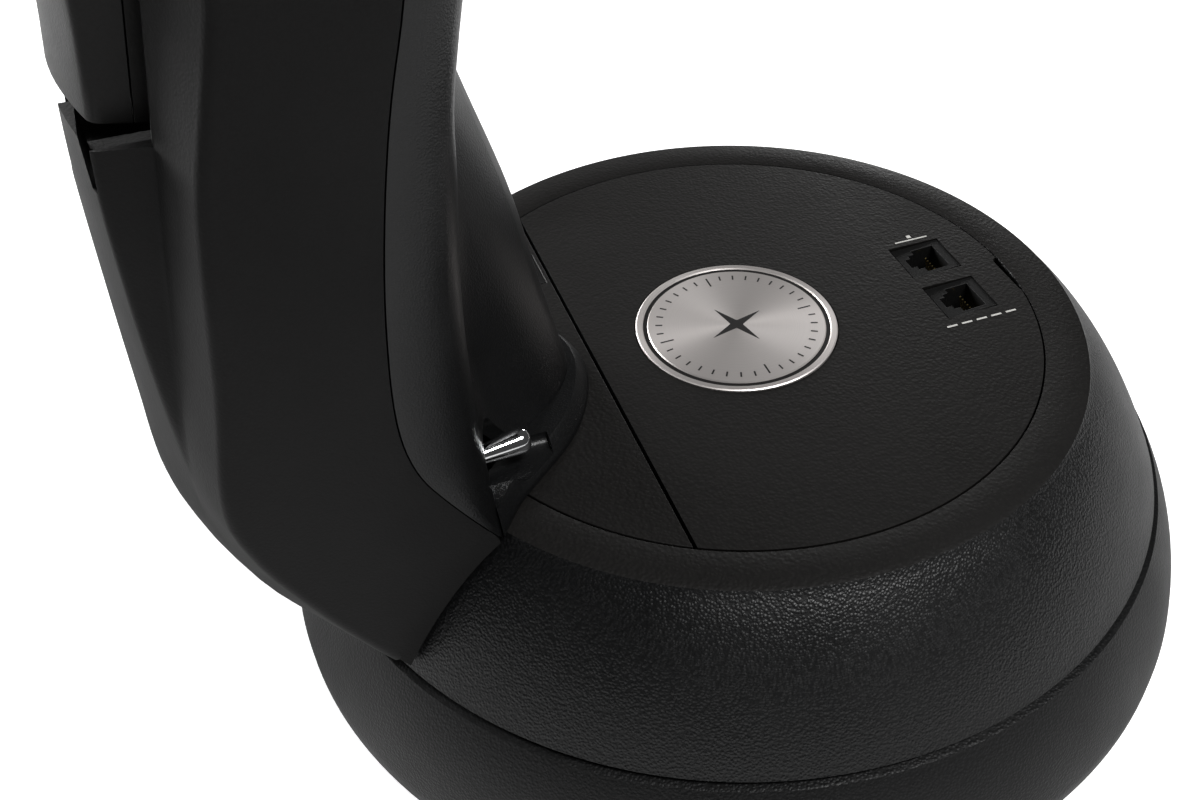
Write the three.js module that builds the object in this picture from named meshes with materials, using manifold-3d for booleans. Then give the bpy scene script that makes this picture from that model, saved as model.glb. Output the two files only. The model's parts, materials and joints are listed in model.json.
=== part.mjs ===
// Single-arm motorised telescope mount with its hand controller docked in the arm.
// Millimetres, +Z up. Origin: on the azimuth axis, at the underside of the base.
// -X points at the arm, +X at the jacks, and the altitude axis runs along X.
import * as THREE from 'three';
import { mergeVertices } from 'three/addons/utils/BufferGeometryUtils.js';
import Module from 'manifold-3d';

const wasm = await Module();
wasm.setup();

// ---------------------------------------------------------------- driving dimensions
const GAP = 0.35;             // air between touching pieces
const TOP = 72;               // height of the turntable's flat top
const LID_R = 79;             // radius of the round lid
const LID_T = 2.6;            // lid thickness
const RING_R = 90.8;          // outer edge of the flat ring round the lid
const SPLIT_R = 113.4;        // where the turning housing meets the fixed one
const SPLIT_Z = 35.6;
const BASE_R = 124.2;         // widest radius of the fixed housing
const CHORD_X = -39.4;        // straight seam between the lid and the arm's foot cover
const WALL = 2.6;             // moulded wall thickness
const BADGE_R = 26.4;

const ALT_Z = TOP + 225;      // altitude axis height
const HEAD_R = 60;            // radius of the arm's round head
const FACE_X = -60;           // arm's inner face at the altitude axis
const WHEEL_R = 46;           // azimuth wheel radius
const WORM_R = 5.5;
const WORM_L = 26;
const SPINE_Y = 11;            // half width of the arm's inner frame
const DRIVE_X = -69;          // middle plane of the altitude wheel and worm

const DOCK = { x: -126.5, z: TOP + 101.6, lean: THREE.MathUtils.degToRad(10) };
const HC_LENGTH = 172;        // hand controller length
const HC_FRONT = 13;          // front shell depth at its crown, bottom end
const HC_FRONT_TOP = 16.5;    // and at the display end
const HC_BACK = 12;           // back shell depth
const HC_CROWN = [6, 3];      // crown of the front face, bottom end and display end
const KEY_TRAVEL = 1.2;
const KEY_PROUD = 1.4;

// ---------------------------------------------------------------- colours
function finish(color, roughness, metalness = 0) {
  return new THREE.MeshStandardMaterial({ color, roughness, metalness });
}
const PAINT = {
  satin: finish(0x1c1c1d, 0.45),
  matte: finish(0x191817, 0.7),
  inside: finish(0x2a2a2b, 0.8),
  metal: finish(0xb9bab8, 0.35, 1),
  brass: finish(0xb08d4a, 0.35, 1),
  chrome: finish(0xdedede, 0.08, 1),
  rubber: finish(0x101010, 0.9),
  board: finish(0x1f5a35, 0.5),
  screen: finish(0x3a0f0d, 0.15),
  key: finish(0x2d2d2f, 0.6),
};

// ---------------------------------------------------------------- solids
function signedVolume(position, index) {
  const [a, b, c] = [new THREE.Vector3(), new THREE.Vector3(), new THREE.Vector3()];
  let sum = 0;
  for (let i = 0; i < index.length; i += 3) {
    a.fromBufferAttribute(position, index[i]);
    b.fromBufferAttribute(position, index[i + 1]);
    c.fromBufferAttribute(position, index[i + 2]);
    sum += a.dot(b.cross(c));
  }
  return sum / 6;
}

// A closed geometry becomes a solid whose faces point out.
function solid(geometry) {
  const bare = geometry.clone();
  bare.deleteAttribute('normal');
  bare.deleteAttribute('uv');
  const merged = mergeVertices(bare, 1e-4);
  let index = Array.from(merged.index.array);
  const kept = [];
  for (let i = 0; i < index.length; i += 3) {
    const [a, b, c] = index.slice(i, i + 3);
    if (a !== b && b !== c && c !== a) kept.push(a, b, c);
  }
  index = kept;
  if (signedVolume(merged.attributes.position, index) < 0) index.reverse();
  return new wasm.Manifold(new wasm.Mesh({
    numProp: 3,
    vertProperties: new Float32Array(merged.attributes.position.array),
    triVerts: new Uint32Array(index),
  }));
}

function geometryOf(manifold) {
  const mesh = manifold.getMesh();
  const geometry = new THREE.BufferGeometry();
  geometry.setAttribute('position', new THREE.BufferAttribute(mesh.vertProperties, 3));
  geometry.setIndex(new THREE.BufferAttribute(mesh.triVerts, 1));
  return geometry;
}

function box(x, y, z) {
  const geometry = new THREE.BoxGeometry(x[1] - x[0], y[1] - y[0], z[1] - z[0]);
  geometry.translate((x[0] + x[1]) / 2, (y[0] + y[1]) / 2, (z[0] + z[1]) / 2);
  return solid(geometry);
}

// Profile points are [radius, height] about the Z axis.
function turned(profile, segments = 48) {
  const geometry = new THREE.LatheGeometry(profile.map(p => new THREE.Vector2(...p)), segments);
  return solid(geometry.rotateX(Math.PI / 2));
}

// The same, about the X axis: points are [radius, x].
function turnedX(profile, segments = 32) {
  const geometry = new THREE.LatheGeometry(profile.map(p => new THREE.Vector2(...p)), segments);
  return solid(geometry.rotateZ(-Math.PI / 2));
}

// The same, about the Y axis: points are [radius, y].
function turnedY(profile, segments = 24) {
  return solid(new THREE.LatheGeometry(profile.map(p => new THREE.Vector2(...p)), segments));
}

function rod(radius, low, high) {
  return [[0, low], [radius, low], [radius, high], [0, high]];
}

function tube(inner, outer, low, high) {
  return [[inner, low], [outer, low], [outer, high], [inner, high], [inner, low]];
}

function outline(points) {
  return new THREE.Shape(points.map(p => new THREE.Vector2(...p)));
}

// Extrudes an XY outline between two heights.
function slabZ(shape, low, high) {
  const options = { depth: high - low, bevelEnabled: false, curveSegments: 10 };
  return solid(new THREE.ExtrudeGeometry(shape, options).translate(0, 0, low));
}

// Extrudes an outline of [y, z] points between two x values.
function slabX(shape, low, high) {
  const options = { depth: high - low, bevelEnabled: false, curveSegments: 6 };
  const geometry = new THREE.ExtrudeGeometry(shape, options);
  return solid(geometry.rotateX(Math.PI / 2).rotateZ(Math.PI / 2).translate(low, 0, 0));
}

// Extrudes an outline of [x, z] points between two y values.
function slabY(shape, low, high) {
  const options = { depth: high - low, bevelEnabled: false };
  return solid(new THREE.ExtrudeGeometry(shape, options).rotateX(Math.PI / 2).translate(0, high, 0));
}

// Joins level outlines of equal point count: each is { z, points }.
function loft(levels) {
  const count = levels[0].points.length;
  const positions = levels.flatMap(({ z, points }) => points.flatMap(p => [p.x, p.y, z]));
  const index = [];
  for (let k = 0; k + 1 < levels.length; k++) {
    for (let i = 0; i < count; i++) {
      const a = k * count + i;
      const b = k * count + (i + 1) % count;
      index.push(a, b, b + count, a, b + count, a + count);
    }
  }
  for (const [k, flip] of [[0, true], [levels.length - 1, false]]) {
    const { z, points } = levels[k];
    const hub = points.reduce((sum, p) => sum.add(p), new THREE.Vector2()).divideScalar(count);
    const centre = positions.length / 3;
    positions.push(hub.x, hub.y, z);
    for (let i = 0; i < count; i++) {
      const rim = [k * count + i, k * count + (i + 1) % count];
      index.push(centre, ...(flip ? rim.reverse() : rim));
    }
  }
  const geometry = new THREE.BufferGeometry();
  geometry.setAttribute('position', new THREE.Float32BufferAttribute(positions, 3));
  geometry.setIndex(index);
  return solid(geometry);
}

// Moves every side of a counter-clockwise outline inwards.
function inset(points, distance) {
  const count = points.length;
  return points.map((p, i) => {
    const into = p.clone().sub(points[(i + count - 1) % count]).normalize();
    const out = points[(i + 1) % count].clone().sub(p).normalize();
    const n1 = new THREE.Vector2(-into.y, into.x);
    const n2 = new THREE.Vector2(-out.y, out.x);
    const mid = n1.add(n2).normalize();
    const grow = 1 / Math.max(0.6, mid.dot(n2));
    return p.clone().addScaledVector(mid, distance * grow);
  });
}

const mount = new THREE.Group();

function add(name, manifold, material, parent = mount) {
  const mesh = new THREE.Mesh(geometryOf(manifold), material);
  mesh.name = name;
  parent.add(mesh);
  return mesh;
}

// ---------------------------------------------------------------- base
const PLATE_R = 118.5;
const FLANGE_R = 60;          // hole in the fixed housing's roof

function curve(a, control, b, steps) {
  const bend = new THREE.QuadraticBezierCurve(...[a, control, b].map(p => new THREE.Vector2(...p)));
  return bend.getPoints(steps).map(p => [p.x, p.y]);
}

function base() {
  const roof = SPLIT_Z - 0.9;
  const skirt = curve([SPLIT_R + 0.8, roof], [BASE_R - 2, 22], [BASE_R, 6], 5);
  add('base_housing', turned([
    ...skirt, [BASE_R - 0.4, 0.6], [BASE_R - 3.4, 0.6], [BASE_R - 3.2, 6],
    [SPLIT_R - 2.2, roof - WALL], [FLANGE_R, roof - WALL], [FLANGE_R, roof], skirt[0],
  ], 48), PAINT.satin);

  let plate = turned([[0, 0], [20, 0], [20, 1.5], [PLATE_R, 1.5], [PLATE_R, 4.4], [0, 4.4]], 48);
  for (const turn of [0, 1, 2]) {
    const angle = Math.PI / 3 + turn * 2 * Math.PI / 3;
    const place = radius => [radius * Math.cos(angle), radius * Math.sin(angle), 0];
    plate = plate.subtract(turned(rod(5.2, -1, 6), 16).translate(place(88)));
    add(`foot_pad_${turn + 1}`, turned(rod(11, 0, 1.15), 24).translate(place(106)), PAINT.rubber);
  }
  add('base_plate', plate, PAINT.inside);
  add('azimuth_post', turned([[0, 4.8], [34, 4.8], [34, 8], [14, 8], [14, 52.2], [0, 52.2]], 32), PAINT.metal);
  add('thrust_bearing', turned(tube(64, 76, SPLIT_Z - 0.55, SPLIT_Z + 0.45), 40), PAINT.metal);

  const wheel = new THREE.Shape();
  const teeth = 48;
  for (let i = 0; i < teeth * 4; i++) {
    const radius = i % 4 < 2 ? WHEEL_R : WHEEL_R - 2;
    const angle = (i + 0.5) / (teeth * 4) * 2 * Math.PI;
    const point = [radius * Math.cos(angle), radius * Math.sin(angle)];
    if (i === 0) wheel.moveTo(...point);
    else wheel.lineTo(...point);
  }
  const gear = slabZ(wheel, 46.5, 51).subtract(turned(rod(14.3, 40, 60), 32));
  add('azimuth_wheel', gear, PAINT.brass);
}

// ---------------------------------------------------------------- turntable
const JACKS = { aux_jack: 8.3, guide_jack: -10.8 };
const JACK_X = 60.4;
const JACK_SIZE = [15.4, 14];
const SHELF_Z = TOP - LID_T - GAP;

// Outer surface of the turning housing, pushed out by a clearance.
function shoulder(clear) {
  return curve([RING_R + clear, TOP - 1.1 + clear], [103.5 + clear, TOP - 13.5 + clear],
    [SPLIT_R + clear, SPLIT_Z], 6);
}

// Lid and foot cover are two parts of one disc, divided by the chord.
function lidDisc() {
  return turned(rod(LID_R - GAP, TOP - LID_T, TOP), 48);
}

// Arm outline at each height above the turntable top. Half widths Y are shared by all rows.
// x values run from the outer crown round one side to the inner crown.
const ARM_Y = [0, 17, 33, 35, 51, 52, 49, 44, 36, 24, 14];
const ARM = [
  // z,    crown, edge,   root,   bevel,  side,  flank, valley, bulge, inner
  [-35.4, -125.0, -113.5, -112.2, -101.0, -77.3, -76.0, -77.0, -57.0, -46.0],
  [-24.0, -133.0, -121.4, -120.0, -108.5, -77.3, -76.0, -77.0, -57.0, -46.0],
  [-12.0, -139.4, -128.4, -127.2, -115.5, -77.3, -76.0, -77.0, -57.0, -46.0],
  [0.0, -142.7, -132.8, -131.7, -121.8, -77.5, -76.2, -77.5, -57.0, -45.8],
  [10.0, -144.4, -135.2, -134.3, -126.6, -83.0, -76.3, -77.7, -57.2, -46.6],
  [26.0, -143.9, -136.0, -135.4, -130.5, -92.0, -76.5, -78.0, -58.4, -49.2],
  [56.0, -142.7, -136.4, -131.6, -125.6, -94.0, -76.2, -78.0, -62.0, -54.8],
  [87.0, -141.2, -135.6, -126.6, -121.2, -90.0, -73.8, -75.0, -68.0, -64.2],
  [100.0, -140.0, -134.4, -124.4, -118.7, -87.4, -72.9, -73.4, -69.5, -67.6],
  [100.6, -125.2, -124.9, -124.3, -118.6, -87.3, -72.8, -73.3, -69.5, -67.6],
  [130.0, -120.0, -119.7, -119.1, -110.1, -80.3, -67.0, -67.2, -67.0, -66.8],
  [160.0, -114.7, -114.4, -113.8, -104.8, -77.0, -62.4, -62.4, -62.3, -62.2],
  [190.0, -109.4, -109.1, -108.5, -99.6, -76.0, -60.0, -60.0, -60.0, -60.0],
  [225.0, -103.3, -103.0, -102.3, -94.0, -76.0, -60.0, -60.0, -60.0, -60.0],
  [255.0, -98.0, -97.7, -97.0, -90.0, -76.0, -60.0, -60.0, -60.0, -60.0],
  [268.0, -95.7, -95.4, -94.8, -88.6, -76.0, -61.0, -61.0, -61.0, -61.0],
  [278.0, -93.9, -93.6, -93.0, -87.6, -76.0, -63.0, -63.0, -63.0, -63.0],
  [283.0, -92.0, -91.8, -91.4, -86.8, -76.0, -66.0, -66.0, -66.0, -66.0],
];
const SEAM = [[-400, 400], [-76, 400], [-76, 175], [-77.5, 150], [-81.5, 126.4], [-86.3, 110],
  [-90, 92], [-93.3, 71], [-95.4, 48], [-95.1, 35], [-92.7, 25], [-88.5, 17.4], [-84, 10.2],
  [-77.6, 0.5], [-77.6, -60], [-400, -60]];

function headHalfWidth(z) {
  const above = z - (ALT_Z - TOP);
  if (above > 0) return Math.sqrt(HEAD_R ** 2 - above ** 2);
  const grow = THREE.MathUtils.smoothstep(z, 135, ALT_Z - TOP);
  return THREE.MathUtils.lerp(52, HEAD_R, grow);
}

function armOutline([z, crown, edge, root, bevel, side, flank, valley, bulge, inner]) {
  const x = [crown, crown + (edge - crown) * 0.28, edge, root, bevel, side,
    side + (flank - side) * 0.55, side + (flank - side) * 0.88, flank, valley, bulge];
  const stretch = headHalfWidth(z) / 52;
  const half = x.map((value, i) => new THREE.Vector2(value, ARM_Y[i] * stretch));
  const mirrored = half.slice(1).map(p => new THREE.Vector2(p.x, -p.y));
  // Counter-clockwise seen from above: outer crown, -Y side, inner crown, +Y side.
  return [half[0], ...mirrored, new THREE.Vector2(inner, 0), ...half.slice(1).reverse()];
}

function armSolid(distance, low, high) {
  const levels = ARM.map(row => ({ z: row[0] + TOP, points: inset(armOutline(row), distance) }));
  levels[0].z = TOP + low;
  levels.at(-1).z = TOP + high;
  return loft(levels);
}

// Hand controller half width at a distance up from its bottom end.
function handsetHalfWidth(z) {
  return THREE.MathUtils.lerp(29, 37.5, THREE.MathUtils.smoothstep(z, 10, 125));
}

function inDock(manifold) {
  const place = new THREE.Matrix4().makeRotationY(DOCK.lean).setPosition(DOCK.x, 0, DOCK.z);
  return manifold.transform(place.elements);
}

// The space in the arm that the hand controller lies in, open outwards and at the top.
function dockSpace(grow) {
  const side = [0, 30, 60, 90, 125, 210];
  const right = side.map(z => [handsetHalfWidth(z) + 1.3 + grow, z]);
  right[0][1] = -1.2 - grow;
  const left = right.map(([y, z]) => [-y, z]).reverse();
  return inDock(slabX(outline([...right, ...left]), -45, HC_BACK + 1.4 + grow));
}

// A finger scoop in the ledge under the hand controller's lower end, grown by a wall.
function scoopSpace(grow) {
  const [half, floor, corner] = [13.5 + grow, TOP + 82 - grow, 6];
  const right = [[half - corner, floor], [half, floor + corner], [half, TOP + 112]];
  const left = right.map(([y, z]) => [-y, z]).reverse();
  return slabX(outline([...right, ...left]), -160, -124 + grow);
}

function arm() {
  const seamShape = outline(SEAM.map(([x, z]) => [x, z + TOP]));
  const rootOf = grow => box([-88 - grow, 0], [-46 - grow, 46 + grow], [TOP + GAP - grow, TOP + 24 + grow]);
  const outerHalf = slabY(seamShape, -100, 100).subtract(rootOf(GAP));
  const innerHalf = box([-140, 0], [-100, 100], [TOP + GAP, TOP + 350])
    .subtract(slabY(outline(SEAM.map(([x, z]) => [x + GAP, z + TOP])), -101, 101)).add(rootOf(0));
  const body = armSolid(0, -35.4, 283);
  const cavity = armSolid(2.8, -32.6, 280);
  const housing = turned([[0, SPLIT_Z - 20], [SPLIT_R + 0.4, SPLIT_Z - 20], ...shoulder(0.4).reverse(),
    [RING_R - 2, TOP + GAP], [0, TOP + GAP]], 48);

  const outer = body.intersect(outerHalf)
    .subtract(cavity.subtract(dockSpace(2.4)).subtract(scoopSpace(2.4)))
    .subtract(dockSpace(0)).subtract(scoopSpace(0)).subtract(housing);
  add('arm_outer_shell', outer, PAINT.matte);

  const foot = [[-77, 50.5], [-70.5, 41.5], [-64.2, 36.2], [-53, 26.5], [-45, 14], [-41, 0]];
  const collar = slabZ(outline([...foot, ...foot.slice(0, -1).reverse().map(([x, y]) => [x, -y])]),
    TOP + GAP, TOP + 5);
  const pockets = box([-80, -59.5], [-38.5, -26], [TOP + 2.4, TOP + 15])
    .add(box([-80, -59.5], [26, 38.5], [TOP + 2.4, TOP + 15]));
  const bearing = turnedX(rod(21, -80, -50)).translate(0, 0, ALT_Z);
  const inner = body.intersect(innerHalf).add(collar).subtract(cavity)
    .subtract(pockets).subtract(bearing);
  add('arm_inner_shell', inner, PAINT.satin);

  const spine = outline([[-74, -27], [-64, -27], [-64, 28], [-75.4, 50], [-75.4, 252], [-80.2, 252],
    [-80.2, 8], [-74, 3]].map(([x, z]) => [x, z + TOP]));
  const frame = slabY(spine, -SPINE_Y, SPINE_Y)
    .add(turnedX(rod(30, -80.2, -75.4)).translate(0, 0, ALT_Z))
    .subtract(turnedX(rod(10, -90, -60), 24).translate(0, 0, ALT_Z));
  add('arm_frame', frame, PAINT.metal);

  const wormZ = ALT_Z - 34 - WORM_R - 0.4;
  add('altitude_motor', turnedY(rod(5.7, 15, 38), 20).translate(DRIVE_X, 0, wormZ), PAINT.metal);
  add('altitude_worm', worm().rotate(0, 0, 90).translate([DRIVE_X, 0, wormZ]), PAINT.brass);
}

// A worm along X: its threads are drawn as rings.
function worm() {
  const [half, threads] = [WORM_L / 2, 7];
  const pitch = WORM_L / threads;
  const root = WORM_R - 1.6;
  const profile = [[0, -half]];
  for (let i = 0; i < threads; i++) {
    const x = i * pitch - half;
    profile.push([root, x], [WORM_R, x + pitch * 0.3], [WORM_R, x + pitch * 0.55], [root, x + pitch * 0.85]);
  }
  profile.push([root, half], [0, half]);
  return turnedX(profile, 12);
}

// A modular jack: a stepped opening from the top, narrower on its latch side.
function jack(x, y, top, depth) {
  const [length, width] = JACK_SIZE.map(size => size - 2 * GAP);
  return box([x - length / 2, x + length / 2], [y - width / 2, y + width / 2], [top - depth, top])
    .subtract(box([x - 1.6, x + 5.2], [y - 5, y + 5], [top - depth + 1.5, top + 1]))
    .subtract(box([x - 4.4, x - 1.5], [y - 3.1, y + 3.1], [top - depth + 1.5, top + 1]));
}

function turntable() {
  const outer = shoulder(0);
  add('turntable_housing', turned([
    [LID_R, TOP], ...outer, [SPLIT_R - 2.2, SPLIT_Z],
    ...curve([SPLIT_R - 2.6, SPLIT_Z + 2], [101, TOP - 16], [RING_R - 3, TOP - 6], 4),
    [LID_R - 3, TOP - 6], [LID_R - 3, SHELF_Z], [LID_R, SHELF_Z], [LID_R, TOP],
  ], 48), PAINT.satin);
  add('turntable_plate', turned([[20, SPLIT_Z + 0.8], [109.6, SPLIT_Z + 0.8], [109.6, SPLIT_Z + 3],
    [20, SPLIT_Z + 3], [20, SPLIT_Z + 0.8]], 48).add(turned(tube(15, 21, SPLIT_Z + 0.8, 45.5), 32)),
  PAINT.inside);

  const cutX = box([-200, CHORD_X], [-200, 200], [0, 200]);
  const cover = lidDisc().intersect(cutX)
    .subtract(box([-74.5, -63.5], [-SPINE_Y - 0.5, SPINE_Y + 0.5], [0, 200]))
    .subtract(box([-55.9, -40.6], [36.2, 50.2], [0, 200]));
  add('arm_foot_cover', cover, PAINT.matte);
  add('handset_port', jack(-48.25, 43.2, TOP - 0.6, 11), PAINT.inside);

  for (const [name, y] of Object.entries(JACKS)) {
    add(name, jack(JACK_X, y, TOP - 0.6, 11.4), PAINT.inside);
  }
  add('control_board', box([50, 72], [-30, 30], [58.2, 59.8]), PAINT.board);

  const tray = box([-54, 47], [-31, 31], [52.6, 68.6])
    .subtract(box([-52.4, 45.4], [-29.4, 29.4], [53.8, 70]));
  add('battery_tray', tray, PAINT.inside);

  add('azimuth_motor', turnedX(rod(6.8, 15, 52), 20).translate(0, -(WHEEL_R + WORM_R + 0.4), 49), PAINT.metal);
  add('azimuth_worm', worm().translate([0, -(WHEEL_R + WORM_R + 0.4), 49]), PAINT.brass);

  add('power_switch_body', box([-92.5, -81], [-39, -25.5], [TOP + 2, TOP + 15.4])
    .subtract(turnedX(rod(3.4, -84, -70), 16).translate(0, -32, TOP + 8.2)), PAINT.inside);
  const lever = turnedX([[0, -2], [1.9, -2], [3.1, 13.5], [2.7, 15.2], [0, 15.8]], 24).rotate(0, 0, 8);
  add('power_switch_lever', lever.translate(-80, -32, TOP + 8.2), PAINT.chrome);
  add('power_jack', turnedX([[0, -79.6], [5.4, -79.6], [5.4, -70], [3.6, -70], [3.6, -78], [0, -78]], 24)
    .translate(0, 32, TOP + 8.6), PAINT.inside);
}

function lid() {
  let disc = lidDisc().subtract(box([-200, CHORD_X + 0.8], [-200, 200], [0, 200]));
  for (const y of Object.values(JACKS)) {
    const [length, width] = JACK_SIZE;
    disc = disc.subtract(box([JACK_X - length / 2, JACK_X + length / 2],
      [y - width / 2, y + width / 2], [0, 200]));
  }
  disc = disc.subtract(box([77, 90], [-15, 2], [0, 200]));
  disc = disc.subtract(turned(rod(BADGE_R + GAP, TOP - 1.1, TOP + 5), 48));
  add('battery_lid', disc, PAINT.matte);
  add('badge_disc', turned(rod(BADGE_R, TOP - 0.75, TOP + 0.35), 48), PAINT.metal);
}

// ---------------------------------------------------------------- altitude axis
const SADDLE_X = [-51.2, -33];
const CLAMP_X = -39;
const GROOVE = [[19, SADDLE_X[1] + 1], [22, SADDLE_X[0] + 6], [-22, SADDLE_X[0] + 6], [-19, SADDLE_X[1] + 1]];

function altitude() {
  const wheel = turnedX(tube(9.3, 34, DRIVE_X - 2.5, DRIVE_X + 2.5), 40);
  add('altitude_wheel', wheel.translate(0, 0, ALT_Z), PAINT.brass);
  const shaft = [[0, -81], [9, -81], [9, FACE_X + 0.8], [36, FACE_X + 0.8], [36, SADDLE_X[0] - 0.4],
    [0, SADDLE_X[0] - 0.4]];
  add('altitude_shaft', turnedX(shaft, 40).translate(0, 0, ALT_Z), PAINT.satin);

  const plate = outline([[-38, 26], [-30, 34], [30, 34], [38, 26], [38, -30], [-38, -30]]);
  const groove = slabY(outline(GROOVE.map(([z, x]) => [x, z])), -60, 60);
  const saddle = slabX(plate, ...SADDLE_X)
    .subtract(groove)
    .subtract(box([SADDLE_X[0] + 6, 0], [-32, 32], [-27, 0]))
    .subtract(turned(rod(3.4, -40, -20), 16).translate(CLAMP_X, 0, 0));
  add('saddle', saddle.translate(0, 0, ALT_Z), PAINT.matte);

  const jaw = outline([[SADDLE_X[0] + 6.4, -24.6], [SADDLE_X[1], -24.6], [SADDLE_X[1], -18.4],
    [SADDLE_X[0] + 6.4, -21.6]]);
  add('clamp_jaw', slabY(jaw, -31.5, 31.5).translate(0, 0, ALT_Z), PAINT.metal);

  const grip = new THREE.Shape();
  for (let i = 0; i < 36; i++) {
    const radius = 10.8 + 0.7 * Math.sign(Math.sin(i * Math.PI / 2 + 0.4));
    const angle = i / 36 * 2 * Math.PI;
    if (i === 0) grip.moveTo(radius, 0);
    else grip.lineTo(radius * Math.cos(angle), radius * Math.sin(angle));
  }
  const knob = slabZ(grip, -47, -32).add(turned(rod(3, -34, -27.3), 16));
  add('clamp_knob', knob.translate(CLAMP_X, 0, ALT_Z), PAINT.matte);
}

// ---------------------------------------------------------------- hand controller
const SPLIT = 0.16;           // half the gap between the two shells
const MAT_X = -4;             // front of the keypad mat

function frontDepth(z) {
  return THREE.MathUtils.lerp(HC_FRONT, HC_FRONT_TOP, THREE.MathUtils.smoothstep(z, 0, 90));
}

function crownDrop(y, z) {
  const drop = THREE.MathUtils.lerp(HC_CROWN[0], HC_CROWN[1], THREE.MathUtils.smoothstep(z, 0, 120));
  return drop * (y / handsetHalfWidth(z)) ** 2;
}

// Section of the front shell: flat on the parting plane, crowned in front.
function frontSection(z, shrink) {
  const half = handsetHalfWidth(z) - shrink;
  const across = [1, 0.93, 0.6, 0.3, 0, -0.3, -0.6, -0.93, -1].map(part => part * half);
  const crown = across.slice(1, -1).map(y => {
    return new THREE.Vector2(-(frontDepth(z) - crownDrop(y, z) - shrink), y);
  });
  const shoulderX = -(frontDepth(z) - crownDrop(half, z) - 2.2);
  const ends = shrink > 0 ? 1 : -SPLIT;
  return [new THREE.Vector2(ends, half), new THREE.Vector2(shoulderX, half), ...crown,
    new THREE.Vector2(shoulderX, -half), new THREE.Vector2(ends, -half)];
}

function backSection(z, shrink) {
  const half = handsetHalfWidth(z) - shrink;
  const depth = HC_BACK - shrink;
  const start = shrink > 0 ? -1 : SPLIT;
  return [[start, -half], [depth - 4.5, -half + 1], [depth, -half + 6.5], [depth, half - 6.5],
    [depth - 4.5, half - 1], [start, half]].map(p => new THREE.Vector2(...p));
}

function handsetLoft(section, shrink, low, high) {
  const levels = [low, 25, 50, 75, 100, 125, high];
  return loft(levels.map(z => ({ z, points: section(z, shrink) })));
}

const ROWS = { top: 119, arrows: 97, numbers: 66, pitch: 13.5 };
const SCREEN = { low: 130, high: 158, half: 29 };
const SOCKET = { half: 7, depth: 5.6, length: 15 };

// Every key: name, place [y, z] on the face and size [width, height].
function keyTable() {
  const keys = [];
  ['align', 'enter', 'undo'].forEach((name, i) => keys.push([`key_${name}`, [21 - 21 * i, ROWS.top], [15, 8]]));
  const arrows = { up: [0, 10.5], down: [0, -10.5], left: [16.5, 0], right: [-16.5, 0] };
  for (const [name, [y, z]] of Object.entries(arrows)) {
    keys.push([`key_${name}`, [y, ROWS.arrows + z], [14, 9]]);
  }
  const pad = ['1', '2', '3', '4', '5', '6', '7', '8', '9', 'info', '0', 'menu'];
  pad.forEach((name, i) => {
    const place = [17 - 17 * (i % 3), ROWS.numbers - ROWS.pitch * Math.floor(i / 3)];
    keys.push([`key_${name}`, place, [13, 8.4]]);
  });
  return keys;
}

// A key cap or its hole: a lozenge standing on the face.
function keyPrism([y, z], [width, height], grow, back, front) {
  const [a, b] = [width / 2 + grow, height / 2 + grow];
  const corner = 2.6;
  const ring = [[a - corner, -b], [a, -b + corner], [a, b - corner], [a - corner, b], [-a + corner, b],
    [-a, b - corner], [-a, -b + corner], [-a + corner, -b]];
  return slabX(outline(ring.map(([dy, dz]) => [y + dy, z + dz])), front, back);
}

function handset() {
  const dock = new THREE.Group();
  dock.position.set(DOCK.x, 0, DOCK.z);
  dock.rotation.y = DOCK.lean;
  mount.add(dock);

  const socketHole = box([-SOCKET.depth - GAP, SOCKET.depth + GAP], [-SOCKET.half - GAP, SOCKET.half + GAP],
    [-1, 6]);
  let front = handsetLoft(frontSection, 0, 0, HC_LENGTH)
    .subtract(handsetLoft(frontSection, 2, 2, HC_LENGTH - 2))
    .subtract(socketHole)
    .subtract(box([-30, -4], [-SCREEN.half - GAP, SCREEN.half + GAP], [SCREEN.low - GAP, SCREEN.high + GAP]));
  for (const [name, place, size] of keyTable()) {
    front = front.subtract(keyPrism(place, size, 0.4, -4, -30));
    const face = -(frontDepth(place[1]) - crownDrop(place[0], place[1]) + KEY_PROUD);
    add(name, keyPrism(place, size, 0, MAT_X - GAP - KEY_TRAVEL, face), PAINT.key, dock);
  }
  add('handset_front_shell', front, PAINT.matte, dock);

  const back = handsetLoft(backSection, 0, 0, HC_LENGTH)
    .subtract(handsetLoft(backSection, 2, 2, HC_LENGTH - 2)).subtract(socketHole);
  add('handset_back_shell', back, PAINT.matte, dock);

  const glassX = -(HC_FRONT_TOP - HC_CROWN[1] * (SCREEN.half / 37.5) ** 2);
  add('display_window', box([glassX, glassX + 1.4], [-SCREEN.half, SCREEN.half], [SCREEN.low, SCREEN.high]),
    PAINT.screen, dock);
  add('display_module', box([glassX + 2.6, glassX + 8], [-28, 28], [SCREEN.low - 1, SCREEN.high + 3]),
    PAINT.inside, dock);
  add('keypad_mat', box([MAT_X, MAT_X + 0.9], [-25.5, 25.5], [19, 125]), PAINT.rubber, dock);
  add('handset_board', box([-2.7, -1.1], [-25.5, 25.5], [18.4, 166]), PAINT.board, dock);
  add('cord_socket', box([-SOCKET.depth, SOCKET.depth], [-SOCKET.half, SOCKET.half], [0.4, SOCKET.length])
    .subtract(box([-3.4, 3.4], [-4.9, 4.9], [-1, 12])), PAINT.inside, dock);
}

base();
turntable();
lid();
arm();
altitude();
handset();

export default mount;
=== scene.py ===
"""A motorised single-arm telescope mount with its hand controller docked in the arm."""

import json
import math

import bmesh
import bpy
from mathutils import Matrix, Vector


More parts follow.
